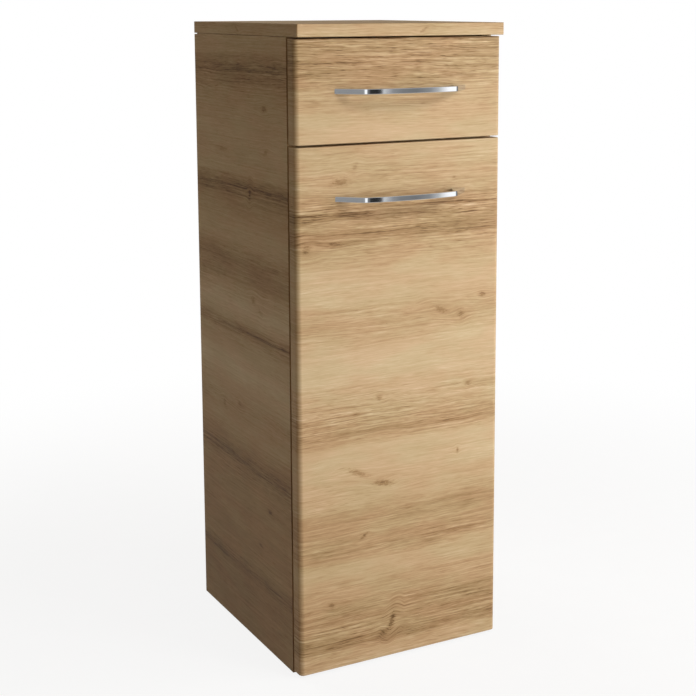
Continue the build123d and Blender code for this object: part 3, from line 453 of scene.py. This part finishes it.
FINISHES = {
    "oak_board": shelf_oak, "oak_front": front_oak, "back_board": fibreboard, "drawer_board": drawer_foil,
    "chrome_handle": chrome, "beech_dowel": beech, "zinc_cam": zinc_cam, "zinc_bolt": zinc_bolt,
    "zinc_screw": zinc_screw, "runner_steel": runner_steel, "ball_steel": ball_steel,
    "hinge_steel": hinge_steel, "clear_pad": clear_pad,
}
OWN_FINISHES = {"side_left": left_side_oak, "side_right": right_side_oak, "top_panel": top_oak}


def dress_nodes():
    """Gives each CAD node the finish of its record slot, or its own."""
    slots = {part["node"]: part["material_slot"] for part in frame["record"]["subparts"]}
    for name, piece in frame["nodes"].items():
        finish = OWN_FINISHES.get(name) or FINISHES[slots[name]]
        if not piece.material_slots:
            piece.data.materials.append(finish)
        for slot in piece.material_slots:
            slot.material = finish


# Bow handles

HALF_LENGTH = 95.4
FOOT_WIDTH = 21.0
HANDLE_HEIGHT = 7.0
RIM = 0.9
RIM_STEPS = 6
BOW_STEPS = 36
CORNER_STEPS = 18
CREASE = 40
# From the handle's middle and from the front: where a leg meets the bow, the bow's height, the corner's radius.
OUTER_BOW = ((66.0, 28.0), 34.0, 16.0)
INNER_BOW = ((63.9, 23.5), 29.5, 8.0)


def arc_points(centre, radius, start, end, count):
    """Points on an arc between two angles, ends included."""
    angles = [start + (end - start) * i / count for i in range(count + 1)]
    return [(centre[0] + radius * math.cos(a), centre[1] + radius * math.sin(a)) for a in angles]


def bow_side(foot_x, shoulder, crown, corner):
    """One side of a handle's plan, foot to foot: slanting legs, rounded shoulders and a shallow bow."""
    rise = crown - shoulder[1]
    bow = (shoulder[0] ** 2 + rise ** 2) / (2 * rise)
    centre = (0.0, crown - bow)
    leg = Vector((shoulder[0] - foot_x, shoulder[1])).normalized()
    inward = Vector((-leg.y, leg.x))
    start = Vector((foot_x, 0.0)) + inward * corner - Vector(centre)
    reach = bow - corner
    along = start.dot(leg)
    travel = -along + math.sqrt(along ** 2 - start.length_squared + reach ** 2)
    middle = Vector((foot_x, 0.0)) + inward * corner + leg * travel
    leg_angle = math.atan2(-inward.y, -inward.x)
    bow_angle = math.atan2(middle.y - centre[1], middle.x - centre[0])
    points = [(foot_x, 0.0)]
    points += arc_points(middle, corner, leg_angle, bow_angle, CORNER_STEPS)
    points += arc_points(centre, bow, bow_angle, math.pi / 2, BOW_STEPS)[1:]
    return points + [(-x, y) for x, y in reversed(points[:-1])]


def offset_line(points, distance):
    """The open line moved sideways by distance, its ends kept on the foot plane."""
    moved = []
    for i, point in enumerate(points):
        before = Vector(points[max(i - 1, 0)])
        after = Vector(points[min(i + 1, len(points) - 1)])
        tangent = (after - before).normalized()
        shift = Vector((-tangent.y, tangent.x)) * distance
        spot = Vector(point) + shift
        if i in (0, len(points) - 1):
            spot = Vector(point) + Vector((distance / -tangent.y, 0.0)) if tangent.y else spot
        moved.append(spot)
    return moved


def bow_handle(name, level, body):
    """A polished handle with rounded rims, drawn as loops stacked from its lower to its upper face."""
    outer = bow_side(HALF_LENGTH, *OUTER_BOW)
    inner = bow_side(HALF_LENGTH - FOOT_WIDTH, *INNER_BOW)
    loops = []
    half = HANDLE_HEIGHT / 2
    heights = []
    for i in range(RIM_STEPS + 1):
        angle = math.pi / 2 * i / RIM_STEPS
        heights.append((-half + RIM * (1 - math.sin(angle)), RIM * (1 - math.cos(angle))))
    heights = heights[::-1]
    heights += [(-z, inset) for z, inset in reversed(heights)]
    mesh = bmesh.new()
    for z, inset in heights:
        ring = [*offset_line(outer, inset), *reversed(offset_line(inner, -inset))]
        loops.append([mesh.verts.new((p.x * MM, (FRONT_FACE - p.y) * MM, (level + z) * MM)) for p in ring])
    count = len(loops[0])
    for low, high in zip(loops, loops[1:]):
        for i in range(count):
            j = (i + 1) % count
            mesh.faces.new((low[i], low[j], high[j], high[i]))
    half_count = count // 2
    for ring in (loops[0], loops[-1]):
        for i in range(half_count - 1):
            mesh.faces.new((ring[i], ring[i + 1], ring[count - 2 - i], ring[count - 1 - i]))
    bmesh.ops.recalc_face_normals(mesh, faces=mesh.faces)
    piece = finish_mesh(name, mesh, chrome)
    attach(piece, body)
    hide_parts(name)


def finish_mesh(name, mesh, material):
    """Turns a drawn mesh into a smooth-shaded piece with sharp edges kept above the crease angle."""
    data = bpy.data.meshes.new(name + "_mesh")
    mesh.to_mesh(data)
    mesh.free()
    data.materials.append(material)
    piece = bpy.data.objects.new(name + "_bow", data)
    bpy.context.scene.collection.objects.link(piece)
    data.shade_smooth()
    data.set_sharp_from_angle(angle=math.radians(CREASE))
    even = piece.modifiers.new("even_shading", "WEIGHTED_NORMAL")
    even.keep_sharp = True
    return piece


# Studio

FLOOR_REACH = 2.8
NEAR_FLOOR_GLOW = 0.86
FLOOR_FADE = (500.0, 1500.0)
FLOOR_GLOW_IN_METAL = 0.3
FILL_TINT = (1.0, 0.75, 0.46, 1.0)
FILL_LEVEL = 0.14
# What polished metal reflects, by direction: degrees from the front towards the right, and brightness.
REFLECTIONS = [
    (-180, 0.16), (-140, 0.18), (-100, 0.28), (-70, 0.33), (-55, 0.34), (-48, 0.42), (-40, 0.28),
    (-37, 1.25), (-17, 1.25), (-13, 0.26), (6, 0.15), (10, 0.03), (14, 0.03), (14.8, 0.85), (16.5, 0.62),
    (19.5, 0.33), (24, 0.25), (31, 0.22), (37.6, 0.31), (42, 0.55), (45.5, 1.05), (48, 1.3), (72, 1.3),
    (86, 0.25), (104, 0.12), (110, 0.5), (119, 0.9), (127, 0.6), (140, 0.2), (180, 0.16),
]
BRIGHTEST_REFLECTION = 1.3
ABOVE = (0.42, 0.42, 0.42, 1.0)
WHITE = (1.0, 1.0, 1.0, 1.0)
# Name, place, target, size, watts and tint. Two stand to the right, one in front and one behind.
LAMPS = [
    ("right_lamp", (1.32, -1.02, 0.85), (0.0, -0.12, 0.45), (0.8, 1.4), 15.0, (1.0, 0.995, 0.99)),
    ("key_lamp", (0.95, -1.75, 1.75), (0.0, -0.15, 0.45), (0.6, 0.6), 16.5, (1.0, 0.995, 0.985)),
    ("front_lamp", (0.5, -3.0, 0.55), (0.0, 0.0, 0.4), (1.6, 1.2), 33.5, (1.0, 0.995, 0.985)),
    ("back_lamp", (-0.6, 2.2, 1.8), (0.0, 0.1, 0.45), (1.6, 1.2), 24.0, (1.0, 1.0, 1.0)),
]


def soft_lamp(name, place, target, size, power, tint):
    """A lamp that lights the matt surfaces and is itself never seen, also not in the metal."""
    data = bpy.data.lights.new(name, "AREA")
    data.shape = "RECTANGLE"
    data.size, data.size_y = size
    data.energy = power
    data.color = tint
    lamp = bpy.data.objects.new(name, data)
    lamp.location = place
    lamp.rotation_euler = (Vector(target) - lamp.location).to_track_quat("-Z", "Y").to_euler()
    lamp.visible_camera = False
    lamp.visible_glossy = False
    bpy.context.scene.collection.objects.link(lamp)


def white_floor():
    """A pale floor that the camera sees as white, with the object's shadow on it."""
    finish = Finish("studio_floor")
    camera = finish.node("ShaderNodeLightPath", None, (), "Is Camera Ray")
    glossy = finish.node("ShaderNodeLightPath", None, (), "Is Glossy Ray")
    x, y, z = finish.place()
    away = (x * x + y * y).math("SQRT")
    glow_share = NEAR_FLOOR_GLOW + finish.step(away, *FLOOR_FADE) * (1 - NEAR_FLOOR_GLOW)
    share = camera * glow_share + glossy * FLOOR_GLOW_IN_METAL
    speckle = finish.noise(x / 40, y / 40, 0.0, 3)
    pale = finish.ramp(speckle, [(0.3, (0.46, 0.41, 0.35)), (0.7, (0.50, 0.45, 0.39))])
    bright = finish.ramp(speckle, [(0.3, (0.90, 0.90, 0.90)), (0.7, (0.94, 0.94, 0.94))])
    matt = finish.node("ShaderNodeBsdfDiffuse", None, {"Color": finish.mix(camera, pale, bright)})
    glow = finish.node("ShaderNodeEmission", None, {"Color": WHITE, "Strength": 1.0})
    both = finish.node("ShaderNodeMixShader", None, {0: share, 1: matt, 2: glow})
    finish.node("ShaderNodeOutputMaterial", None, (both,))
    mesh = bmesh.new()
    bmesh.ops.create_circle(mesh, cap_ends=True, segments=96, radius=FLOOR_REACH)
    data = bpy.data.meshes.new("studio_floor_mesh")
    mesh.to_mesh(data)
    mesh.free()
    data.materials.append(finish.material)
    floor = bpy.data.objects.new("studio_floor", data)
    bpy.context.scene.collection.objects.link(floor)


def studio_world():
    """White to the camera, a dim fill on matt surfaces, and soft boxes and dark flags in the metal."""
    world = bpy.data.worlds.new("studio")
    bpy.context.scene.world = world
    world.use_nodes = True
    studio = Nodes(world.node_tree)
    x, y, z = studio.parts(studio.node("ShaderNodeTexCoord"))
    turn = studio.node("ShaderNodeMath", {"operation": "ARCTAN2"}, (x, -1 * y)) / 360 * math.degrees(1) + 0.5
    stops = [(angle / 360 + 0.5, level / BRIGHTEST_REFLECTION) for angle, level in REFLECTIONS]
    boxes = studio.mix(studio.step(z, 0.3, 0.6), studio.ramp(turn, stops), ABOVE)
    seen = studio.node("ShaderNodeBackground", None, (boxes, BRIGHTEST_REFLECTION))
    fill = studio.node("ShaderNodeBackground", None, (FILL_TINT, FILL_LEVEL))
    white = studio.node("ShaderNodeBackground", None, (WHITE, 1.0))
    camera = studio.node("ShaderNodeLightPath", None, (), "Is Camera Ray")
    glossy = studio.node("ShaderNodeLightPath", None, (), "Is Glossy Ray")
    first = studio.node("ShaderNodeMixShader", None, (glossy, fill, seen))
    second = studio.node("ShaderNodeMixShader", None, (camera, first, white))
    studio.node("ShaderNodeOutputWorld", None, (second,))


# The photograph's viewpoint. The lens and the point that the camera looks at are in the image's pixels, and the
# shift takes the frame from that point to where the photograph has it.
IMAGE_SIZE = 696
FOCAL_LENGTH = 1429.11
AIM_POINT = (384.67, 225.44)
CAMERA_PLACE = (-0.89694, -1.73293, 0.8692)
YAW, PITCH, ROLL = 28.831, 8.79, -0.072
SENSOR_WIDTH = 36.0


def studio_camera():
    yaw, pitch, roll = [math.radians(turn) for turn in (YAW, PITCH, ROLL)]
    ahead = Vector((math.sin(yaw) * math.cos(pitch), math.cos(yaw) * math.cos(pitch), -math.sin(pitch)))
    right = Vector((math.cos(yaw), -math.sin(yaw), 0.0))
    up = right.cross(ahead)
    frame_right = right * math.cos(roll) + up * math.sin(roll)
    frame_up = up * math.cos(roll) - right * math.sin(roll)
    data = bpy.data.cameras.new("studio_camera")
    data.sensor_width = SENSOR_WIDTH
    data.lens = SENSOR_WIDTH * FOCAL_LENGTH / IMAGE_SIZE
    data.shift_x = (IMAGE_SIZE / 2 - AIM_POINT[0]) / IMAGE_SIZE
    data.shift_y = (AIM_POINT[1] - IMAGE_SIZE / 2) / IMAGE_SIZE
    data.clip_start = 0.05
    data.clip_end = 60.0
    camera = bpy.data.objects.new("studio_camera", data)
    turn = Matrix((frame_right, frame_up, -ahead)).transposed().to_4x4()
    camera.matrix_world = Matrix.Translation(CAMERA_PLACE) @ turn
    bpy.context.scene.collection.objects.link(camera)
    bpy.context.scene.camera = camera


def middle_height(node):
    """The height of a CAD node's middle, in millimetres."""
    low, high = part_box(node)
    return (low.z + high.z) / 2 / MM


studio_camera()
dress_nodes()
bow_handle("drawer_handle", middle_height("drawer_handle"), "drawer")
bow_handle("door_handle", middle_height("door_handle"), "door")
white_floor()
studio_world()
for lamp in LAMPS:
    soft_lamp(*lamp)

bpy.context.scene.view_settings.view_transform = "Standard"
